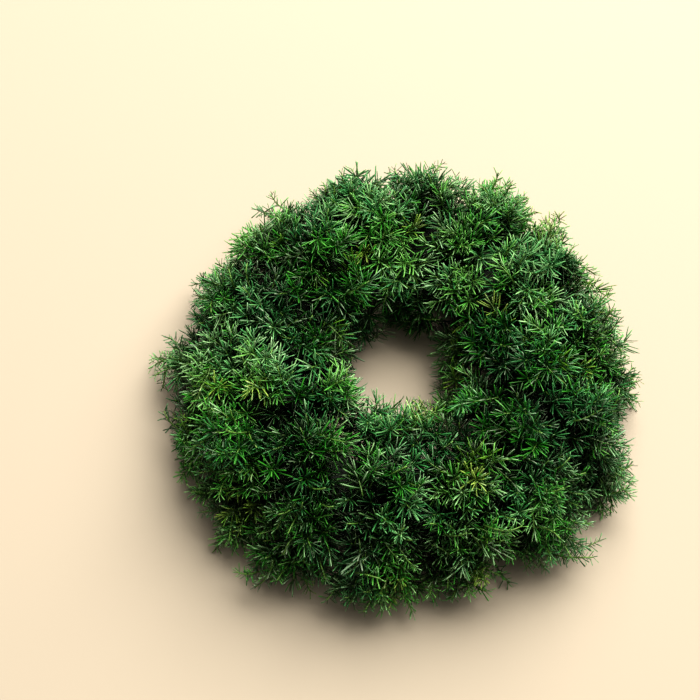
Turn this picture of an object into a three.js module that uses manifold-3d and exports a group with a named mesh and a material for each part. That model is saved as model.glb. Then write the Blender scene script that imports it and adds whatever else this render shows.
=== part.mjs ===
// A preserved conifer wreath: sprigs of soft, slim needles are pushed by their stems into a ring of
// dry foam, and the foam sits in a moulded plastic tray. Each sprig is the closed outline of its
// twigs and needles, tapering to a bare stem. Millimetres, +Z up. The origin is at the centre of
// the underside, and the wreath rests on the tray's flat bottom.
import * as THREE from "three";
import * as BufferGeometryUtils from "three/addons/utils/BufferGeometryUtils.js";
import Module from "manifold-3d";

const wasm = await Module();
wasm.setup();

// Foam ring: straight sides below, a half round above
const ringRadius = 70.5; // wreath's centre to the middle of the foam's section
const foamHalfWidth = 17.4; // also the radius of the half round
const foamCentreHeight = 13; // where the half round begins
const ringSegments = 72;
const archSegments = 10;

// Tray that holds the foam
const trayWall = 1.5;
const trayHeight = 11;
const trayLip = 0.6; // outward lip round both rims
const fitGap = 0.3; // left between pieces that touch

// Sprigs
const stemRadius = 1.5;
const stemDepth = 9; // pushed into the foam
const stemSides = 8;
const boreGap = 0.35; // round a stem in its hole
const cellFill = 0.88; // share of its cell that a sprig's width takes
const tipWander = 0.07; // how far a tip strays sideways, in cells
const slopeWander = 2; // how far a tip strays in the section, in degrees
const rootFlatness = 0.45; // a sprig is flatter near the foam, where its neighbours crowd it

// Outline of a sprig along its length, from the foam to the tip: [share of length, share of width]
const sprigOutline = [
  [0.07, 0.36],
  [0.2, 0.72],
  [0.42, 0.96],
  [0.64, 1],
  [0.84, 0.84],
  [0.95, 0.5],
];

// Rows of sprigs round the ring. A slope is the way a sprig points in the ring's section, in
// degrees: 0 is outwards, 90 is up and 180 is towards the hole. Lengths are from foam to tip. The
// wreath is fuller on its -Y side, where a row's slopes grow by fullLean and its sprigs are longer.
const sprigRows = [
  {
    name: "outer_sprig",
    slope: 4,
    tipSlope: 3,
    fullLean: 0,
    turn: 0,
    halfDepth: 12.2,
    lengths: [42, 34, 33, 34, 30, 31, 32, 30, 39, 35, 48, 38, 36, 35, 44, 45],
  },
  {
    name: "shoulder_sprig",
    slope: 47,
    tipSlope: 47,
    fullLean: 0,
    turn: 11,
    halfDepth: 14.4,
    lengths: [39, 38, 38, 36, 31, 32, 35, 35, 38, 41, 38, 38, 40, 41],
  },
  {
    name: "crown_sprig",
    slope: 87,
    tipSlope: 88,
    fullLean: 2,
    turn: 5,
    halfDepth: 13.4,
    lengths: [33, 35, 31, 34, 32, 35, 33, 32, 35, 33, 34],
  },
  {
    name: "lip_sprig",
    slope: 126,
    tipSlope: 129,
    fullLean: 12,
    turn: 18,
    halfDepth: 11.8,
    lengths: [30, 28, 27, 31, 34, 32, 37, 37, 32],
  },
  {
    name: "inner_sprig",
    slope: 170,
    tipSlope: 177,
    fullLean: 0,
    turn: 30,
    halfDepth: 11.8,
    lengths: [26, 21, 25, 32, 30, 36, 30],
  },
];

const foliageGreens = ["#1f5a28", "#2b6e30", "#22642a", "#3a8136", "#2f7040", "#557a2e"];

function solidFrom(geometry) {
  const shape = geometry.clone();
  shape.deleteAttribute("normal");
  shape.deleteAttribute("uv");
  const merged = BufferGeometryUtils.mergeVertices(shape, 1e-4);
  const vertProperties = new Float32Array(merged.attributes.position.array);
  const triVerts = new Uint32Array(merged.index.array);
  return new wasm.Manifold(new wasm.Mesh({ numProp: 3, vertProperties, triVerts }));
}

function geometryFrom(solid) {
  const mesh = solid.getMesh();
  const geometry = new THREE.BufferGeometry();
  geometry.setAttribute("position", new THREE.BufferAttribute(new Float32Array(mesh.vertProperties), 3));
  geometry.setIndex(new THREE.BufferAttribute(new Uint32Array(mesh.triVerts), 1));
  return geometry;
}

function namedMesh(name, geometry, color, roughness) {
  const mesh = new THREE.Mesh(geometry, new THREE.MeshStandardMaterial({ color, roughness, metalness: 0 }));
  mesh.name = name;
  return mesh;
}

// A ring of the given section, whose points are [distance from the middle of the foam, height]
function ringGeometry(section) {
  const profile = section.map(([across, height]) => new THREE.Vector2(ringRadius + across, height));
  profile.push(profile[0].clone());
  const geometry = new THREE.LatheGeometry(profile, ringSegments);
  return geometry.rotateX(Math.PI / 2);
}

function trayGeometry() {
  const inside = foamHalfWidth + fitGap;
  const outside = inside + trayWall;
  const lip = outside + trayLip;
  const lipHeight = trayHeight - trayWall;
  return ringGeometry([
    [-outside, 0],
    [outside, 0],
    [outside, lipHeight],
    [lip, lipHeight],
    [lip, trayHeight],
    [inside, trayHeight],
    [inside, trayWall],
    [-inside, trayWall],
    [-inside, trayHeight],
    [-lip, trayHeight],
    [-lip, lipHeight],
    [-outside, lipHeight],
  ]);
}

function foamGeometry() {
  const section = [
    [-foamHalfWidth, trayWall + fitGap],
    [foamHalfWidth, trayWall + fitGap],
  ];
  for (let step = 0; step <= archSegments; step += 1) {
    const angle = (Math.PI * step) / archSegments;
    section.push([foamHalfWidth * Math.cos(angle), foamCentreHeight + foamHalfWidth * Math.sin(angle)]);
  }
  return ringGeometry(section);
}

// A point of the ring's section at a slope and distance from its centre, turned round the wreath
function sectionPoint(slope, distance, turn) {
  const slopeAngle = THREE.MathUtils.degToRad(slope);
  const turnAngle = THREE.MathUtils.degToRad(turn);
  const radius = ringRadius + distance * Math.cos(slopeAngle);
  const height = foamCentreHeight + distance * Math.sin(slopeAngle);
  return new THREE.Vector3(radius * Math.cos(turnAngle), radius * Math.sin(turnAngle), height);
}

// The line that a sprig follows from the foam to its tip
function sprigCurve(row, index) {
  const length = row.lengths[index];
  const cell = 360 / row.lengths.length;
  const turn = row.turn + cell * index;
  const strayTurn = tipWander * cell * Math.sin(2.4 * index + row.turn);
  const straySlope = slopeWander * Math.sin(4.1 * index + row.turn);
  const lean = row.fullLean * (1 - Math.sin(THREE.MathUtils.degToRad(turn))) / 2;
  const points = [0, 0.35, 0.7, 1].map((share) => {
    const slope = THREE.MathUtils.lerp(row.slope, row.tipSlope, share) + lean + straySlope * share;
    return sectionPoint(slope, foamHalfWidth + length * share, turn + strayTurn * share * share);
  });
  return { curve: new THREE.CatmullRomCurve3(points), turn, cell, length };
}

// Bends a lathe that stands on +Y so that it follows the curve. Its width lies round the wreath.
function bendAlong(geometry, curve, length, halfWidth, halfDepth) {
  const position = geometry.attributes.position;
  for (let index = 0; index < position.count; index += 1) {
    const along = position.getY(index);
    const share = THREE.MathUtils.clamp(along / length, 0, 1);
    const centre = curve.getPoint(share);
    const tangent = curve.getTangent(share);
    if (along < 0) centre.addScaledVector(tangent, along);
    const round = new THREE.Vector3(-centre.y, centre.x, 0).normalize();
    const depth = new THREE.Vector3().crossVectors(round, tangent).normalize();
    const across = new THREE.Vector3().crossVectors(tangent, depth);
    const bare = share === 0;
    const flatness = Math.min(1, rootFlatness + share);
    centre.addScaledVector(across, position.getX(index) * (bare ? stemRadius : halfWidth));
    centre.addScaledVector(depth, position.getZ(index) * (bare ? stemRadius : halfDepth * flatness));
    position.setXYZ(index, centre.x, centre.y, centre.z);
  }
  return geometry;
}

function sprigGeometry(row, index) {
  const { curve, cell, length } = sprigCurve(row, index);
  const halfCell = Math.tan(THREE.MathUtils.degToRad(cell / 2));
  const room = sprigOutline.map(([share, width]) => {
    const centre = curve.getPoint(share);
    return (Math.hypot(centre.x, centre.y) * halfCell) / width;
  });
  const halfWidth = cellFill * Math.min(...room);
  const profile = [
    new THREE.Vector2(0, -stemDepth),
    new THREE.Vector2(1, -stemDepth),
    new THREE.Vector2(1, 0),
  ];
  for (const [share, width] of sprigOutline) profile.push(new THREE.Vector2(width, share * length));
  profile.push(new THREE.Vector2(0, length));
  return bendAlong(new THREE.LatheGeometry(profile, stemSides), curve, length, halfWidth, row.halfDepth);
}

// The hole that a sprig's stem needs in the foam
function boreGeometry(row, index) {
  const { curve } = sprigCurve(row, index);
  const mouth = curve.getPoint(0);
  const inward = curve.getTangent(0).negate();
  const depth = stemDepth + boreGap;
  const overshoot = 3;
  const radius = stemRadius + boreGap;
  const bore = new THREE.CylinderGeometry(radius, radius, depth + overshoot, stemSides);
  bore.applyQuaternion(new THREE.Quaternion().setFromUnitVectors(new THREE.Vector3(0, 1, 0), inward));
  const middle = mouth.addScaledVector(inward, (depth - overshoot) / 2);
  return bore.translate(middle.x, middle.y, middle.z);
}

function buildTray() {
  return namedMesh("base_tray", geometryFrom(solidFrom(trayGeometry())), "#2e4a30", 0.6);
}

function buildFoam() {
  let foam = solidFrom(foamGeometry());
  for (const row of sprigRows) {
    for (let index = 0; index < row.lengths.length; index += 1) {
      foam = foam.subtract(solidFrom(boreGeometry(row, index)));
    }
  }
  return namedMesh("foam_ring", geometryFrom(foam), "#56603f", 0.95);
}

function buildSprigs() {
  const sprigs = new THREE.Group();
  for (const row of sprigRows) {
    for (let index = 0; index < row.lengths.length; index += 1) {
      const name = `${row.name}_${String(index + 1).padStart(2, "0")}`;
      const geometry = geometryFrom(solidFrom(sprigGeometry(row, index)));
      const green = foliageGreens[(index * 5 + row.lengths.length) % foliageGreens.length];
      sprigs.add(namedMesh(name, geometry, green, 0.55));
    }
  }
  return sprigs;
}

const assembly = new THREE.Group();
assembly.add(buildTray(), buildFoam(), buildSprigs());
const middle = new THREE.Box3().setFromObject(assembly).getCenter(new THREE.Vector3());
assembly.position.set(-middle.x, -middle.y, 0);

const wreath = new THREE.Group();
wreath.add(assembly);

export default wreath;
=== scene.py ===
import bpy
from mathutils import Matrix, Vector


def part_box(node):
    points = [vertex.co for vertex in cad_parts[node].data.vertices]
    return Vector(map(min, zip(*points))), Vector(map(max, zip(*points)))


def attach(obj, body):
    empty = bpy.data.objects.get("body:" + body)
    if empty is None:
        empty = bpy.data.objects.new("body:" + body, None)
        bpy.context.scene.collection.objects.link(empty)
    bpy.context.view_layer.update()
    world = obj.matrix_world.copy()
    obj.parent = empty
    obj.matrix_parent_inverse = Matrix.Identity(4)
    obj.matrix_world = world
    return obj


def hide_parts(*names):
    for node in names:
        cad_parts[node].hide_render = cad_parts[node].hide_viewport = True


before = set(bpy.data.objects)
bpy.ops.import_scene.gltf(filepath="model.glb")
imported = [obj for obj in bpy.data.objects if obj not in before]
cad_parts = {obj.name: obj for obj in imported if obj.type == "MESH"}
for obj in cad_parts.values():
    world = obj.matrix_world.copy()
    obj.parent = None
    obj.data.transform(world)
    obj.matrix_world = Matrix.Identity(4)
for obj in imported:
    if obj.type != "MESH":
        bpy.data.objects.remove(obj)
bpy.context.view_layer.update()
print("frame loaded:", len(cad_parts), "nodes")

import math
import random

import bpy
import numpy as np
from mathutils import Matrix, Vector, noise

mm = 0.001
bpy.ops.object.select_all(action="DESELECT")


# colours are written as sRGB hex and used as linear
def linearColour(hexColour):
    channels = [int(hexColour[i : i + 2], 16) / 255 for i in (1, 3, 5)]
    return tuple(c / 12.92 if c <= 0.04045 else ((c + 0.055) / 1.055) ** 2.4 for c in channels) + (1.0,)


# what is given as another node's socket is linked, and all else is set
def setSockets(owner, node, settings):
    for name, value in settings.items():
        if isinstance(value, bpy.types.NodeSocket):
            owner.node_tree.links.new(value, node.inputs[name])
        else:
            node.inputs[name].default_value = value


# stops are the places and colours of a colour ramp
def addNode(owner, kind, settings=None, stops=(), **properties):
    node = owner.node_tree.nodes.new(kind)
    for name, value in properties.items():
        setattr(node, name, value)
    setSockets(owner, node, settings or {})
    if stops:
        elements = node.color_ramp.elements
        while len(elements) < len(stops):
            elements.new(1.0)
        for element, (position, colour) in zip(elements, stops):
            element.position = position
            element.color = colour
    return node


def newMaterial(name):
    material = bpy.data.materials.new(name)
    material.use_nodes = True
    return material, material.node_tree.nodes["Principled BSDF"]


# the ring, as the frame has it
trayLow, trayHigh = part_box("base_tray")
foamLow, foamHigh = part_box("foam_ring")
ringCentre = (Vector(trayLow) + Vector(trayHigh)) / 2
foamOuter = (foamHigh[0] - foamLow[0]) / 2
foamPoints = [v.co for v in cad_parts["foam_ring"].data.vertices]
foamInner = min(math.hypot(co.x - ringCentre.x, co.y - ringCentre.y) for co in foamPoints)
foamHalfWidth = (foamOuter - foamInner) / 2
ringRadius = foamOuter - foamHalfWidth
foamCentreHeight = foamHigh[2] - foamHalfWidth
foliageOut = 3 * foamHalfWidth  # about how far out the foliage reaches, from the middle of the foam's section
sprigNames = sorted(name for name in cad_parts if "_sprig_" in name)


# dyed and preserved juvenile foliage: glycerine keeps the needles supple and their wax semi-matt
foliage = {
    # three dyes, green, blue-green and yellow-green, each from its darkest to its freshest tone
    "dyes": (
        ("#10400c", "#1b5c14", "#307b23", "#50943c", "#6ea552"),
        ("#143b1c", "#245b31", "#3b7a46", "#629860", "#81a973"),
        ("#203f0a", "#3a6313", "#578223", "#7a993a", "#90a550"),
    ),
    "shoot": "#5d7d38",
    # painted shade and light: how light the needles are painted, from the heart of the wreath to the tips in
    # the open
    "shades": ((0.0, 0.04), (0.35, 0.32), (0.7, 0.9), (1.0, 1.14)),
    "shadeTint": (0.7, 1.0, 0.56),  # light that came through other needles is greener
    # the pale band is partly the needles' real waxy band and partly painted sheen
    "paleBand": "#bcc6b0",
    "paleAndSheenAmount": 0.32,
    "paleWidth": 0.12,  # of a strip of the map, to each side of its middle: one face of a needle
    "margin": 0.12,  # of a strip of the map, left bare at both its sides
    "roughness": 0.33,
    "specular": 0.45,
    "sheen": "#dcecc8",
}
toneLevels = len(foliage["dyes"][0])
shootStrip = toneLevels * len(foliage["dyes"])
stripCount = shootStrip + 1


# on the map of a piece, U is how light a spot is painted, from painted shade to painted light, and V holds a
# strip for each tone
def foliageMaterial():
    material, shader = newMaterial("preserved juvenile conifer needles")
    place = addNode(material, "ShaderNodeUVMap", uv_map="OFBake").outputs["UV"]
    split = addNode(material, "ShaderNodeSeparateXYZ", {"Vector": place})
    paintedLightness, strip = split.outputs["X"], split.outputs["Y"]
    tones = [colour for dye in foliage["dyes"] for colour in dye] + [foliage["shoot"]]
    stops = [(index / stripCount, linearColour(colour)) for index, colour in enumerate(tones)]
    tone = addNode(material, "ShaderNodeValToRGB", {"Fac": strip}, stops)
    tone.color_ramp.interpolation = "CONSTANT"

    # pale waxy band along one face of each needle, and none on stems: the needles' real pale band, made paler
    # so that it also stands in for painted sheen
    band = strip
    for operation, *inputs in (
        ("MULTIPLY", stripCount),
        ("FRACT",),
        ("COMPARE", 0.5, foliage["paleWidth"]),
    ):
        settings = {0: band, **dict(enumerate(inputs, 1))}
        band = addNode(material, "ShaderNodeMath", settings, operation=operation).outputs[0]
    settings = {0: strip, 1: shootStrip / stripCount}
    onNeedle = addNode(material, "ShaderNodeMath", settings, operation="LESS_THAN")
    settings = {0: band, 1: onNeedle.outputs[0]}
    onBand = addNode(material, "ShaderNodeMath", settings, operation="MULTIPLY")
    settings = {0: onBand.outputs[0], 1: foliage["paleAndSheenAmount"]}
    amount = addNode(material, "ShaderNodeMath", settings, operation="MULTIPLY")
    settings = {0: amount.outputs[0], 6: tone.outputs["Color"], 7: linearColour(foliage["paleBand"])}
    banded = addNode(material, "ShaderNodeMix", settings, data_type="RGBA")

    # painted shade: the colour is darkened by U, and made greener where it is darker
    brightest = foliage["shades"][-1][1]
    stops = []
    for position, value in foliage["shades"]:
        tinted = [(part + (1 - part) * position) * value / brightest for part in foliage["shadeTint"]]
        stops.append((position, (*tinted, 1.0)))
    shade = addNode(material, "ShaderNodeValToRGB", {"Fac": paintedLightness}, stops).outputs["Color"]
    lift = addNode(material, "ShaderNodeVectorMath", {0: shade, "Scale": brightest}, operation="SCALE")
    settings = {0: banded.outputs[2], 1: lift.outputs[0]}
    green = addNode(material, "ShaderNodeVectorMath", settings, operation="MULTIPLY")
    settings = {
        "Base Color": green.outputs[0],
        "Roughness": foliage["roughness"],
        "Specular IOR Level": foliage["specular"],
        "Specular Tint": linearColour(foliage["sheen"]),
    }
    setSockets(material, shader, settings)
    return material


# one needle, then twigs of needles
needle = {
    "sides": 3,
    "lengthMm": 9.2,
    "widthMm": 0.86,
    "thickness": 0.6,  # share of the thickness of an equilateral section
    "footWidth": 0.6,  # share of the width, at the twig
    "middle": 0.45,  # share of the length
    "shoulder": 0.88,  # share of the length at which the blunt tip starts
    "shoulderWidth": 0.8,
    "bendsMm": (0.6, 1.7),  # how far the tip of each curved kind bends towards the twig's end
}
twigs = {
    "leafy": {
        "needles": "curved",
        "lengthsMm": (15, 21, 28),
        "variants": 4,  # of each length
        "bareShare": 0.26,
        "needlesPerMm": 2.0,
        "needleSize": 1.0,
        "needleBreadth": 1.0,  # further widening, for shorter needles that are no thinner
        "stemMm": 0.95,
        "stemTipMm": 0.55,
    },
    # shorter needles, as on the outermost and lowest shoots
    "fine": {
        "needles": "straight",
        "lengthsMm": (13, 19, 25),
        "variants": 3,
        "bareShare": 0.15,
        "needlesPerMm": 1.7,
        "needleSize": 0.62,
        "needleBreadth": 1.4,
        "stemMm": 1.1,
        "stemTipMm": 0.7,
    },
    # older growth in the shade
    "inner": {
        "needles": "straight",
        "lengthsMm": (13, 19, 25),
        "variants": 3,
        "bareShare": 0.05,
        "needlesPerMm": 1.2,
        "needleSize": 1.05,
        "needleBreadth": 1.0,
        "stemMm": 0.95,
        "stemTipMm": 0.7,
    },
}
growth = {
    "seed": 11,
    "sag": 0.1,  # of a twig's length, between its middle and the line through its ends
    "sagRange": (0.3, 1.7),  # how much of that a twig has
    "wave": 0.5,  # how much a twig may also swing to both sides, against its sag
    "stemEnd": 0.96,  # shares of a twig's length at which its stem ends and its last needle starts
    "needlesEnd": 0.97,
    "turnStep": 2.39996,  # golden angle in radians, so that no needle stands right above another
    "turnStray": 0.35,
    "baseAngle": 74,  # between a needle and its twig, in degrees
    "tipAngle": 34,
    "angleStray": 13,
    "angleLimits": (4, 105),
    "rollStray": 0.35,
    # towards the tip, needles close up and shorten
    "tipStart": 0.6,
    "tipPower": 1.4,
    "tipShortening": 0.25,
    "sizes": (0.68, 1.25),  # of a twig's needles
    # needles are fresher towards the tip: levels of a dye along a twig, and where they are 0
    "freshness": 1.4,
    "freshMiddle": 0.55,
    "toneStray": 0.7,
}
stemSides = 4
stemCuts = (0.25, 0.5, 0.75)  # where a stem can bend, as shares of its length
mapEnds = 0.04  # of a shape's length on the map, left bare at both its ends
mapTilt = 0.02  # keeps faces that lie across the length from being a line on the map


def selectInEdit(obj, test):
    bpy.ops.object.mode_set(mode="OBJECT")
    for part in (obj.data.vertices, obj.data.edges, obj.data.polygons):
        part.foreach_set("select", [False] * len(part))
    for vertex in obj.data.vertices:
        vertex.select = test(vertex.co)
    bpy.ops.object.mode_set(mode="EDIT")


def makeNeedle(bendMm):
    # a triangle as wide as the needle has its corners at this radius
    length, radius = needle["lengthMm"] * mm, needle["widthMm"] * mm / math.sqrt(3)
    shoulder, bend = needle["shoulder"] * length, bendMm * mm
    # a straight needle has no ring at its middle
    middle = needle["middle"] * length if bend else shoulder
    # its flat face is turned to the twig's foot and its ridge to the twig's end, on +X
    bpy.ops.mesh.primitive_cone_add(
        vertices=needle["sides"],
        radius1=radius * needle["footWidth"],
        radius2=radius,
        depth=middle,
        location=(0, 0, middle / 2),
        rotation=(0, 0, -math.pi / 2),
    )
    obj = bpy.context.object
    obj.scale.y = needle["thickness"]
    bpy.ops.object.transform_apply(location=True, rotation=True, scale=True)
    bpy.ops.object.mode_set(mode="EDIT")
    bpy.ops.mesh.select_mode(type="VERT")
    # the broad middle, then the blunt tip
    selectInEdit(obj, lambda co: co.z > middle * 0.99)
    if bend:
        bpy.ops.transform.translate(value=(bend * needle["middle"] ** 2, 0, 0))
        rise = bend * (needle["shoulder"] ** 2 - needle["middle"] ** 2)
        bpy.ops.mesh.extrude_region_move(TRANSFORM_OT_translate={"value": (rise, 0, shoulder - middle)})
        bpy.ops.transform.resize(value=(needle["shoulderWidth"], needle["shoulderWidth"], 1))
    rise = bend * (1 - needle["shoulder"] ** 2)
    bpy.ops.mesh.extrude_region_move(TRANSFORM_OT_translate={"value": (rise, 0, length - shoulder)})
    bpy.ops.mesh.merge(type="CENTER")
    bpy.ops.mesh.select_all(action="SELECT")
    bpy.ops.mesh.normals_make_consistent(inside=False)
    bpy.ops.object.mode_set(mode="OBJECT")
    return obj


# a stem on +Z, of radius 1 and length 1
def makeStem():
    bpy.ops.mesh.primitive_cylinder_add(vertices=stemSides, radius=1, depth=1, location=(0, 0, 0.5))
    obj = bpy.context.object
    bpy.ops.object.transform_apply(location=True, rotation=True, scale=True)
    bpy.ops.object.mode_set(mode="EDIT")
    for cut in stemCuts:
        bpy.ops.mesh.select_all(action="SELECT")
        bpy.ops.mesh.bisect(plane_co=(0, 0, cut), plane_no=(0, 0, 1))
    bpy.ops.object.mode_set(mode="OBJECT")
    return obj


# a shape as arrays: points, the corners of its faces, and for each corner how far along and around it is
def readShape(obj, length, sides, bend=0.0):
    mesh = obj.data
    points = np.array([v.co for v in mesh.vertices], float)
    shares = points[:, 2] / length
    section = points[:, :2] - np.outer(bend * shares**2, (1, 0))
    radius = np.hypot(section[:, 0], section[:, 1]).max()
    along, around = [], []
    for face in mesh.polygons:
        centre = section[list(face.vertices)].mean(0)
        angle = math.atan2(centre[1], centre[0]) % (2 * math.pi)
        side = (math.floor(angle / (2 * math.pi) * sides) + 0.5) / sides
        for index in face.vertices:
            x, y = section[index]
            turn = (math.atan2(y, x) - angle + math.pi) % (2 * math.pi) - math.pi
            # corners on the axis, and the far corners of an end, go to the middle of the side
            middle = math.hypot(x, y) < radius * 0.01 or abs(turn) > math.pi / sides * 1.6
            along.append(mapEnds + (1 - 2 * mapEnds) * shares[index] + mapTilt * x / radius)
            around.append(side if middle else side + 0.5 / sides * (1 if turn > 0 else -1))
    return {
        "points": points,
        "corners": np.array([loop.vertex_index for loop in mesh.loops]),
        "sizes": np.array([len(face.vertices) for face in mesh.polygons]),
        "along": np.array(along),
        "around": np.array(around),
    }


def joinShapes(parts):
    starts = np.cumsum([0] + [len(p["points"]) for p in parts[:-1]])
    joined = {key: np.concatenate([p[key] for p in parts]) for key in parts[0] if key != "corners"}
    joined["corners"] = np.concatenate([p["corners"] + s for p, s in zip(parts, starts)])
    return joined


def placed(shape, matrix, tone=None):
    spot = np.array(matrix)
    moved = dict(shape)
    moved["points"] = shape["points"] @ spot[:3, :3].T + spot[:3, 3]
    if tone is not None:
        moved["tone"] = np.full(len(shape["corners"]), float(tone))
    return moved


# +Z along a direction, and +X as near as can be to another
def axesMatrix(place, direction, aside, size, breadth=1.0):
    across = direction.cross(aside).normalized()
    turn = Matrix((across.cross(direction), across, direction)).transposed().to_4x4()
    return Matrix.Translation(place) @ turn @ Matrix.Diagonal((size * breadth, size * breadth, size, 1.0))


def strayVector(rng, size):
    return Vector([rng.gauss(0, size) for _ in range(3)])


# a twig from the origin to a point on +Z, arched so that its end points to +X
def makeTwig(kind, needleShapes, stemShape, lengthMm, rng):
    length = lengthMm * mm
    sag = growth["sag"] * rng.uniform(*growth["sagRange"])
    wave = rng.uniform(-growth["wave"], growth["wave"]) * growth["sag"]

    def axisPoint(share):
        arch = 4 * share * (share - 1)  # 0 at both ends and -1 in the middle
        return Vector((sag * arch, wave * arch * (share - 0.5) * 3, share)) * length

    def axisWay(share):
        return (axisPoint(share + 0.02) - axisPoint(share - 0.02)).normalized()

    stem = dict(stemShape)
    shares = stemShape["points"][:, 2]
    thick = (kind["stemMm"] + (kind["stemTipMm"] - kind["stemMm"]) * shares) * mm / 2
    middle = np.array([axisPoint(s * growth["stemEnd"]) for s in shares])
    stem["points"] = middle + stemShape["points"] * np.array((1, 1, 0)) * thick[:, None]
    stem["tone"] = np.full(len(stem["corners"]), float(shootStrip))
    parts = [stem]
    count = round(lengthMm * (1 - kind["bareShare"]) * kind["needlesPerMm"])
    closest, widest = growth["angleLimits"]
    for index in range(count):
        share = kind["bareShare"] + (1 - kind["bareShare"]) * (index + 0.5) / count
        late = max(0.0, (share - growth["tipStart"]) / (1 - growth["tipStart"])) ** growth["tipPower"]
        lean = growth["baseAngle"] + (growth["tipAngle"] - growth["baseAngle"]) * late
        lean = math.radians(max(closest, min(lean + rng.gauss(0, growth["angleStray"]), widest)))
        size = kind["needleSize"] * (1 - growth["tipShortening"] * late) * rng.uniform(*growth["sizes"])
        way = axisWay(share)
        side = way.orthogonal().normalized()
        turn = index * growth["turnStep"] + rng.gauss(0, growth["turnStray"])
        side.rotate(Matrix.Rotation(turn, 3, way))
        direction = (way * math.cos(lean) + side * math.sin(lean)).normalized()
        forward = way + strayVector(rng, growth["rollStray"])
        foot = axisPoint(share * growth["needlesEnd"])
        matrix = axesMatrix(foot, direction, forward, size, kind["needleBreadth"])
        shift = growth["freshness"] * (share - growth["freshMiddle"]) + rng.gauss(0, growth["toneStray"])
        parts.append(placed(rng.choice(needleShapes[kind["needles"]]), matrix, shift))
    return joinShapes(parts)


# sprigs of twigs, one for each sprig of the frame
sprig = {
    # each layer's number of twigs, and the shares of the foliage's depth that their tips take
    "layers": {
        "outside": (1170, (0.74, 0.97)),
        "inside": (560, (0.4, 0.7)),
        "loose": (520, (0.93, 1.07)),
    },
    "slopes": (-16, 198),  # where foliage starts and ends, round the ring's section, in degrees
    "blendMm": 15,  # how gently the outline runs from one sprig's tip to the next
    "hollow": 0.16,  # how much lower it is halfway between two sprigs
    "spacingMm": 22,
    "branching": 0.5,  # of the depth, between a twig's fork and its tip
    "lowestFork": 0.04,  # of the depth, over the foam
    "forkAside": 0.38,  # how far aside of its sprig's axis a twig forks, as a share of its tip's distance
    "forkStrayMm": 6.5,
    "twigSizes": (0.88, 1.1),
    "droopStray": 0.5,
    "stemMm": 3.0,
    "stemTaper": 0.6,
    "stemShare": 0.6,  # of the sprig's length
    # painted shade: the sprig's own stem, deep in the foliage, is painted dark
    "stemPaintedLight": 0.1,
    "lowestMm": 0.3,  # needles that meet the table lie along it
    # patches are (millimetres across, amount, seed)
    "lumps": ((30, 0.34, 21), (13, 0.2, 21)),  # of the outside, as a share of the depth
    "tones": ((34, 2.6, 159), (20, 1.3, 190)),  # in levels of a dye
    "hues": ((34, 1.1, 20),),
    # places of another tone and hue: x and y from the ring's centre and the width in mm, tone and hue; a
    # darker tone is painted shade on the inner wall and the near side, a lighter tone is painted light on the
    # far side and, in the small spots, fresher tufts, and the hue makes places bluer or yellower
    "spots": (
        (-40, 14, 34, -2.0, 0.0),
        (-50, -106, 50, -1.7, 0.0),
        (-70, -30, 36, 0.9, 0.0),
        (95, -40, 46, -0.9, -0.5),
        (20, -96, 26, -0.6, 0.0),
        (56, 98, 44, 1.5, 0.1),
        (42, -65, 12, 1.0, 1.2),
        (-75, 80, 15, 0.9, 0.2),
        (74, 23, 14, 0.9, 0.3),
        (-36, 84, 50, 0.0, -0.5),
        (-86, 36, 50, 0.0, -0.4),
        (-76, -10, 36, 0.0, -0.7),
    ),
    "toneStray": 0.7,
    "hueStray": 0.35,
    "yellowAbove": 0.62,  # hues from which a twig has the yellow-green dye or the blue-green one
    "blueBelow": -0.2,
    "darkBelow": 0.5,  # shares of the depth between which the needles are painted from full shade to full light
    "lightAbove": 0.92,
    "footPaintedLight": 0.35,  # painted shade at a needle's foot, against its tip
    "mapLight": (0.93, 0.03),  # of the painted light and shade, and of the way along, that make up U on the map
    # by row: how far the outside layer reaches, the share of its twigs that are fine, the share of
    # loose shoots that grow, and how light the foliage is painted, the inner and outer rows in painted shade
    "fullness": {"outer": 0.87, "shoulder": 0.97, "crown": 1.0, "lip": 1.03, "inner": 1.09},
    "fineShares": {"outer": 0.35, "shoulder": 0.15, "crown": 0.06, "lip": 0.06, "inner": 0.1},
    "looseShares": {"outer": 1.0, "shoulder": 0.7, "crown": 0.1, "lip": 0.2, "inner": 0.1},
    "rowPaintedLight": {"outer": 0.82, "shoulder": 0.95, "crown": 1.0, "lip": 0.95, "inner": 0.6},
}
placeSteps = (0.7548776662, 0.5698402910)  # of a sequence that fills a plane evenly, without rows
patchShift = Vector((17.0, 5.0, 11.0))  # from the patches of one seed to those of the next


# a place round the ring, round its section, and out from the section's centre
def sectionPlace(point):
    x, y = point[0] - ringCentre.x, point[1] - ringCentre.y
    radial, height = math.hypot(x, y) - ringRadius, point[2] - foamCentreHeight
    slope = math.atan2(height, radial)
    if slope <= -math.pi / 2:
        slope += 2 * math.pi
    return math.atan2(y, x), slope, math.hypot(radial, height)


def sectionPoint(angle, slope, out):
    radius = ringRadius + out * math.cos(slope)
    return Vector((
        ringCentre.x + radius * math.cos(angle),
        ringCentre.y + radius * math.sin(angle),
        foamCentreHeight + out * math.sin(slope),
    ))


# how far points are from the middle of the foam's section
def sectionReach(points):
    radial = np.hypot(points[:, 0] - ringCentre.x, points[:, 1] - ringCentre.y) - ringRadius
    return np.hypot(radial, points[:, 2] - foamCentreHeight)


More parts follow.
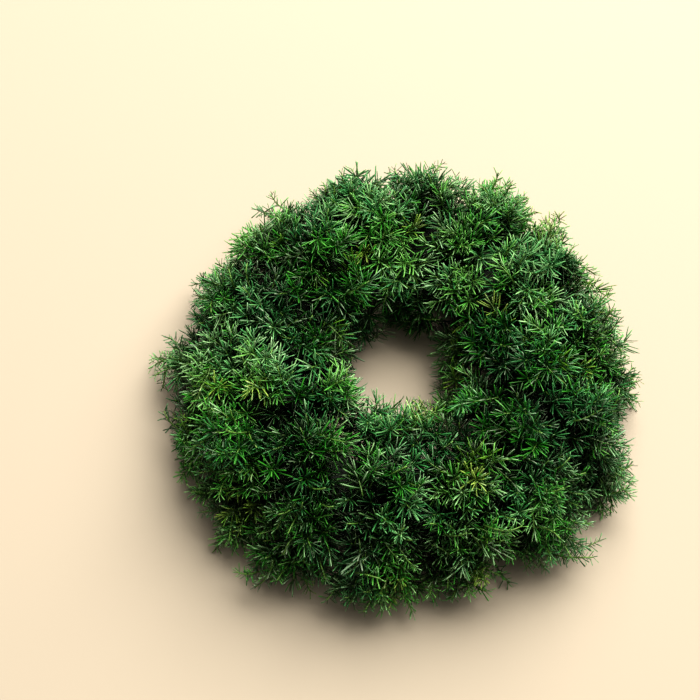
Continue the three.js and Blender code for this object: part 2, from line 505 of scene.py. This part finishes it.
# the stem of a frame's sprig is inside the foam, and the rest of it outside
def readSprig(name):
    points = np.array([v.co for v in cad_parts[name].data.vertices], float)
    reach = sectionReach(points)
    mouth = points[(reach > foamHalfWidth * 0.8) & (reach < foamHalfWidth * 1.04)].mean(0)
    butt = points[reach < foamHalfWidth * 0.8].mean(0)
    tip = points[reach.argmax()]
    axis = Vector(tip - mouth)
    angle, slope, out = sectionPlace(tip)
    return {
        "name": name,
        "row": name.split("_")[0],
        "mouth": Vector(mouth),
        "butt": Vector(butt),
        "axis": axis.normalized(),
        "length": axis.length,
        "angle": angle,
        "slope": slope,
        "out": out,
    }


# places spread evenly over the outside of the foliage
def evenPlaces(count):
    slopes = np.radians(np.linspace(*sprig["slopes"], 200))
    area = np.cumsum(ringRadius + foliageOut * np.cos(slopes))
    area = (area - area[0]) / (area[-1] - area[0])
    stepRound, stepOver = placeSteps
    for index in range(count):
        angle = (0.5 + index * stepRound) % 1.0 * 2 * math.pi
        yield angle, float(np.interp((0.5 + index * stepOver) % 1.0, area, slopes))


# how far each sprig's tip is from a place, along the outside of the foliage
def distances(sprigs, angle, slope):
    radius = ringRadius + foliageOut * math.cos(slope)
    apart = []
    for s in sprigs:
        turn = (s["angle"] - angle + math.pi) % (2 * math.pi) - math.pi
        apart.append(math.hypot(turn * radius, (s["slope"] - slope) * foliageOut))
    return np.array(apart)


def patchAt(point, patches):
    return sum(
        amount * noise.noise(point / (sizeMm * mm) + patchShift * seed) for sizeMm, amount, seed in patches
    )


# spots shift the tone and hue: a darker tone is painted shade, a lighter tone is painted light on the far
# side and fresher tufts
def spotAt(point):
    tone = hue = 0.0
    for x, y, widthMm, toneChange, hueChange in sprig["spots"]:
        away = math.hypot(point.x - ringCentre.x - x * mm, point.y - ringCentre.y - y * mm)
        share = math.exp(-((2 * away / (widthMm * mm)) ** 2) / 2)
        tone, hue = tone + share * toneChange, hue + share * hueChange
    return tone, hue


# painted shade: how light each point is painted, by its height over the foam
def openness(points, depth):
    height = sectionReach(points) - foamHalfWidth
    low, high = sprig["darkBelow"], sprig["lightAbove"]
    return np.clip((height / depth - low) / (high - low), 0.0, 1.0)


def sprigStem(s, stemShape):
    stem = dict(stemShape)
    shares = stemShape["points"][:, 2]
    thick = sprig["stemMm"] * mm / 2 * (1 - sprig["stemTaper"] * shares)
    way = s["mouth"] + s["axis"] * s["length"] * sprig["stemShare"] - s["butt"]
    section = stemShape["points"] * np.array((1, 1, 0)) * thick[:, None]
    turn = np.array(way.normalized().to_track_quat("Z", "Y").to_matrix())
    stem["points"] = section @ turn.T + np.array(s["butt"]) + shares[:, None] * np.array(way)
    stem["tone"] = np.full(len(stem["corners"]), float(shootStrip))
    # painted shade: the stem is painted darkest at its butt in the foam
    stem["light"] = np.full(len(stem["corners"]), sprig["stemPaintedLight"]) * stem["along"]
    return stem


# one twig of a sprig, its tip at a place on the foliage's outside or below it
def sprigTwig(s, place, depth, reach, variantsByLength, rng):
    tip = sectionPoint(*place, foamHalfWidth + depth * reach)
    tip += (tip - sectionPoint(*place, 0)).normalized() * depth * patchAt(tip, sprig["lumps"])
    along = (tip - s["mouth"]).dot(s["axis"])
    aside = tip - s["mouth"] - s["axis"] * along
    fork = s["mouth"] + s["axis"] * max(sprig["lowestFork"] * depth, along - sprig["branching"] * depth)
    fork += aside * sprig["forkAside"] + strayVector(rng, sprig["forkStrayMm"] * mm)
    way = tip - fork
    lengthMm, variants = min(variantsByLength, key=lambda pair: abs(pair[0] * mm - way.length))
    size = rng.uniform(*sprig["twigSizes"])
    way.normalize()
    shape = rng.choice(variants)
    droopWay = aside.normalized() + strayVector(rng, sprig["droopStray"])
    twig = placed(shape, axesMatrix(tip - way * lengthMm * mm * size, way, droopWay, size))

    # the spots' tone is in part painted shade and painted light
    spotTone, spotHue = spotAt(tip)
    hue = patchAt(tip, sprig["hues"]) + spotHue + rng.gauss(0, sprig["hueStray"])
    dye = 2 if hue > sprig["yellowAbove"] else 1 if hue < sprig["blueBelow"] else 0
    level = toneLevels // 2 + patchAt(tip, sprig["tones"]) + spotTone + rng.gauss(0, sprig["toneStray"])
    level = np.clip(np.round(level + shape["tone"]), 0, toneLevels - 1)
    twig["tone"] = np.where(shape["tone"] == shootStrip, shootStrip, dye * toneLevels + level)

    # painted shade: darker deeper in the foliage, in the shaded rows and towards each needle's foot
    paintedLightness = openness(twig["points"], depth)[twig["corners"]] * sprig["rowPaintedLight"][s["row"]]
    paintedLightness = paintedLightness * (sprig["footPaintedLight"] + (1 - sprig["footPaintedLight"]) * twig["along"])
    lightShare, alongShare = sprig["mapLight"]
    twig["light"] = paintedLightness * lightShare + alongShare * twig["along"]
    return twig


# every twig belongs to the sprig that is nearest to it
def growSprigs(twigSets, stemShape, rng):
    sprigs = [readSprig(name) for name in sprigNames]
    grown = {s["name"]: [sprigStem(s, stemShape)] for s in sprigs}
    outs = np.array([s["out"] for s in sprigs])
    for layer, (count, reaches) in sprig["layers"].items():
        for place in evenPlaces(count):
            apart = distances(sprigs, *place)
            weights = np.exp(-((apart / (sprig["blendMm"] * mm)) ** 2) / 2)
            s = sprigs[int(apart.argmin())]
            hollow = min(1.0, (apart.min() / (sprig["spacingMm"] * mm)) ** 2) * sprig["hollow"]
            depth = (float(weights @ outs / weights.sum()) - foamHalfWidth) * (1 - hollow)
            if layer == "loose" and rng.random() > sprig["looseShares"][s["row"]]:
                continue
            kind = "inner" if layer == "inside" else "fine"
            reach = rng.uniform(*reaches)
            if layer == "outside":
                reach *= sprig["fullness"][s["row"]]
                kind = "fine" if rng.random() < sprig["fineShares"][s["row"]] else "leafy"
            grown[s["name"]].append(sprigTwig(s, place, depth, reach, twigSets[kind], rng))
    return grown


# needles that would go through the table are laid on it
def laidDown(points):
    low = sprig["lowestMm"] * mm
    bendBelow = low * 4
    heights = points[:, 2]
    flattened = low + low * 3 * np.exp(np.minimum(heights - bendBelow, 0) / (low * 3))
    points[:, 2] = np.where(heights < bendBelow, flattened, heights)
    return points


def meshFrom(shape, name, material):
    mesh = bpy.data.meshes.new(name)
    mesh.vertices.add(len(shape["points"]))
    mesh.vertices.foreach_set("co", shape["points"].astype(np.float32).ravel())
    mesh.loops.add(len(shape["corners"]))
    mesh.loops.foreach_set("vertex_index", shape["corners"].astype(np.int32))
    mesh.polygons.add(len(shape["sizes"]))
    starts = np.concatenate(([0], np.cumsum(shape["sizes"])[:-1]))
    mesh.polygons.foreach_set("loop_start", starts.astype(np.int32))
    mesh.update(calc_edges=True)
    margin = foliage["margin"]
    across = (shape["tone"] + margin + shape["around"] * (1 - 2 * margin)) / stripCount
    layer = mesh.uv_layers.new(name="OFBake")
    layer.data.foreach_set("uv", np.stack([shape["light"], across], 1).astype(np.float32).ravel())
    mesh.polygons.foreach_set("use_smooth", [True] * len(mesh.polygons))
    mesh.materials.append(material)
    obj = bpy.data.objects.new(name, mesh)
    bpy.context.collection.objects.link(obj)
    return obj


def buildFoliage():
    rng = random.Random(growth["seed"])
    needleShapes, spares = {"curved": [], "straight": []}, []
    for bendMm in (0,) + needle["bendsMm"]:
        spares.append(makeNeedle(bendMm))
        shape = readShape(spares[-1], needle["lengthMm"] * mm, needle["sides"], bendMm * mm)
        needleShapes["curved" if bendMm else "straight"].append(shape)
    spares.append(makeStem())
    stemShape = readShape(spares[-1], 1, stemSides)
    twigSets = {}
    for kindName, kind in twigs.items():
        twigSets[kindName] = []
        for lengthMm in kind["lengthsMm"]:
            made = [makeTwig(kind, needleShapes, stemShape, lengthMm, rng) for _ in range(kind["variants"])]
            twigSets[kindName].append((lengthMm, made))
    print("needles and twigs made")
    material = foliageMaterial()
    faces = 0
    for name, parts in growSprigs(twigSets, stemShape, rng).items():
        shape = joinShapes(parts)
        shape["points"] = laidDown(shape["points"])
        piece = meshFrom(shape, name + "_foliage", material)
        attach(piece, "root")
        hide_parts(name)
        faces += int((shape["sizes"] - 2).sum())
    for spare in spares:
        bpy.data.objects.remove(spare)
    print("foliage made:", len(sprigNames), "sprigs,", faces, "triangles")


buildFoliage()


# the tray and the foam keep their shapes
tray = {
    "colour": "#22352a",
    "roughness": 0.55,
    "grainMm": 1.111,  # the real grain is finer, too fine to show
    "grainDetail": 3.0,
    "grainDepthMm": 0.2,
    "grainStrength": 0.15,
}
foam = {
    "colours": ("#0b0e09", "#1a2015"),  # in the cells and on their edges; the foam's own dark colour, darkened further as painted shade where it shows between the sprigs
    "stops": (0.3, 0.7),
    "roughness": 0.95,
    "cellMm": 0.714,  # the real cells are finer, too fine to show
    "cellDetail": 4.0,
}


# injection-moulded polypropylene: the grain of the mould leaves a satin skin
def trayMaterial():
    material, shader = newMaterial("moulded polypropylene, dark green")
    place = addNode(material, "ShaderNodeTexCoord").outputs["Object"]
    pattern = {"Vector": place, "Scale": 1 / (tray["grainMm"] * mm), "Detail": tray["grainDetail"]}
    grain = addNode(material, "ShaderNodeTexNoise", pattern).outputs["Fac"]
    depth = {"Height": grain, "Strength": tray["grainStrength"], "Distance": tray["grainDepthMm"] * mm}
    bump = addNode(material, "ShaderNodeBump", depth).outputs["Normal"]
    settings = {"Base Color": linearColour(tray["colour"]), "Roughness": tray["roughness"], "Normal": bump}
    setSockets(material, shader, settings)
    return material


# phenolic foam, cut: its open cells swallow the light and leave it powdery and matt
def foamMaterial():
    material, shader = newMaterial("dry floral foam, cut")
    place = addNode(material, "ShaderNodeTexCoord").outputs["Object"]
    pattern = {"Vector": place, "Scale": 1 / (foam["cellMm"] * mm), "Detail": foam["cellDetail"]}
    cells = addNode(material, "ShaderNodeTexNoise", pattern).outputs["Fac"]
    stops = list(zip(foam["stops"], map(linearColour, foam["colours"])))
    colour = addNode(material, "ShaderNodeValToRGB", {"Fac": cells}, stops).outputs["Color"]
    setSockets(material, shader, {"Base Color": colour, "Roughness": foam["roughness"]})
    return material


for nodeName, material in (("base_tray", trayMaterial()), ("foam_ring", foamMaterial())):
    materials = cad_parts[nodeName].data.materials
    materials.clear()
    materials.append(material)
print("tray and foam finished")


# the camera looks steeply down, a little turned
view = {
    "elevation": 68.1,
    "roll": 5.97,
    "lensPx": 1600,  # focal length and width of the frame, in pixels
    "imagePx": 700,
    "sensorMm": 36,
    "placeMm": (-29.3, -300.5, 799),
}
stage = {
    "colour": "#9c907d",
    "roughness": 0.8,
    "radiusM": 4,
    "corners": 96,
    "dropMm": 0.4,  # keeps it clear of the tray's flat underside
    "look": "Medium High Contrast",
}
light = {
    # strength of the surroundings: by height, from the horizon up, and by how near the window is
    "horizon": ((0.0, 1.2), (0.15, 0.95), (0.42, 0.1)),
    "window": ((0.0, 0.02), (0.5, 0.06), (0.85, 0.4), (1.0, 1.0)),
    "windowWay": (0.05, 0.25, 0.96),
    "surroundingsColour": "#f6f4f0",
    "keyColour": "#fffcf8",
    "keyWatts": 266,
    "keySizeM": 2.6,
    "keyPlaceM": (0.6, 1.6, 2.05),
}


def setWorld():
    world = bpy.context.scene.world or bpy.data.worlds.new("studio")
    bpy.context.scene.world = world
    world.use_nodes = True
    way = addNode(world, "ShaderNodeTexCoord").outputs["Generated"]
    window = Vector(light["windowWay"]).normalized()
    nearness = addNode(world, "ShaderNodeVectorMath", {0: way, 1: window}, operation="DOT_PRODUCT")
    height = addNode(world, "ShaderNodeSeparateXYZ", {"Vector": way})
    glows = []
    for factor, key in ((height.outputs["Z"], "horizon"), (nearness.outputs["Value"], "window")):
        stops = [(position, (value, value, value, 1.0)) for position, value in light[key]]
        glows.append(addNode(world, "ShaderNodeValToRGB", {"Fac": factor}, stops).outputs["Color"])
    brighter = addNode(world, "ShaderNodeMath", {0: glows[0], 1: glows[1]}, operation="MAXIMUM")
    background = world.node_tree.nodes["Background"]
    surroundings = linearColour(light["surroundingsColour"])
    setSockets(world, background, {"Color": surroundings, "Strength": brighter.outputs[0]})


def setStage():
    bpy.ops.mesh.primitive_circle_add(
        vertices=stage["corners"],
        radius=stage["radiusM"],
        fill_type="NGON",
        location=(0, 0, -stage["dropMm"] * mm),
    )
    floor = bpy.context.object
    floor.name = "floor"
    material, shader = newMaterial("pale matt floor")
    settings = {"Base Color": linearColour(stage["colour"]), "Roughness": stage["roughness"]}
    setSockets(material, shader, settings)
    floor.data.materials.append(material)
    setWorld()
    bpy.ops.object.light_add(type="AREA", location=light["keyPlaceM"])
    key = bpy.context.object
    key.data.size = light["keySizeM"]
    key.data.energy = light["keyWatts"]
    key.data.color = linearColour(light["keyColour"])[:3]
    key.rotation_euler = (-Vector(light["keyPlaceM"])).to_track_quat("-Z", "Y").to_euler()
    bpy.context.scene.view_settings.view_transform = "Standard"
    bpy.context.scene.view_settings.look = stage["look"]


def setCamera():
    data = bpy.data.cameras.new("camera")
    data.sensor_width = view["sensorMm"]
    data.lens = view["sensorMm"] * view["lensPx"] / view["imagePx"]
    camera = bpy.data.objects.new("camera", data)
    bpy.context.collection.objects.link(camera)
    lift, roll = math.radians(view["elevation"]), math.radians(view["roll"])
    right = Vector((1, 0, 0))
    up = Vector((0, math.sin(lift), math.cos(lift)))
    back = Vector((0, -math.cos(lift), math.sin(lift)))
    across = right * math.cos(roll) + up * math.sin(roll)
    upward = up * math.cos(roll) - right * math.sin(roll)
    turn = Matrix((across, upward, back)).transposed().to_4x4()
    camera.matrix_world = Matrix.Translation(Vector(view["placeMm"]) * mm) @ turn
    bpy.context.scene.camera = camera


setStage()
setCamera()
print("stage, light and camera set")
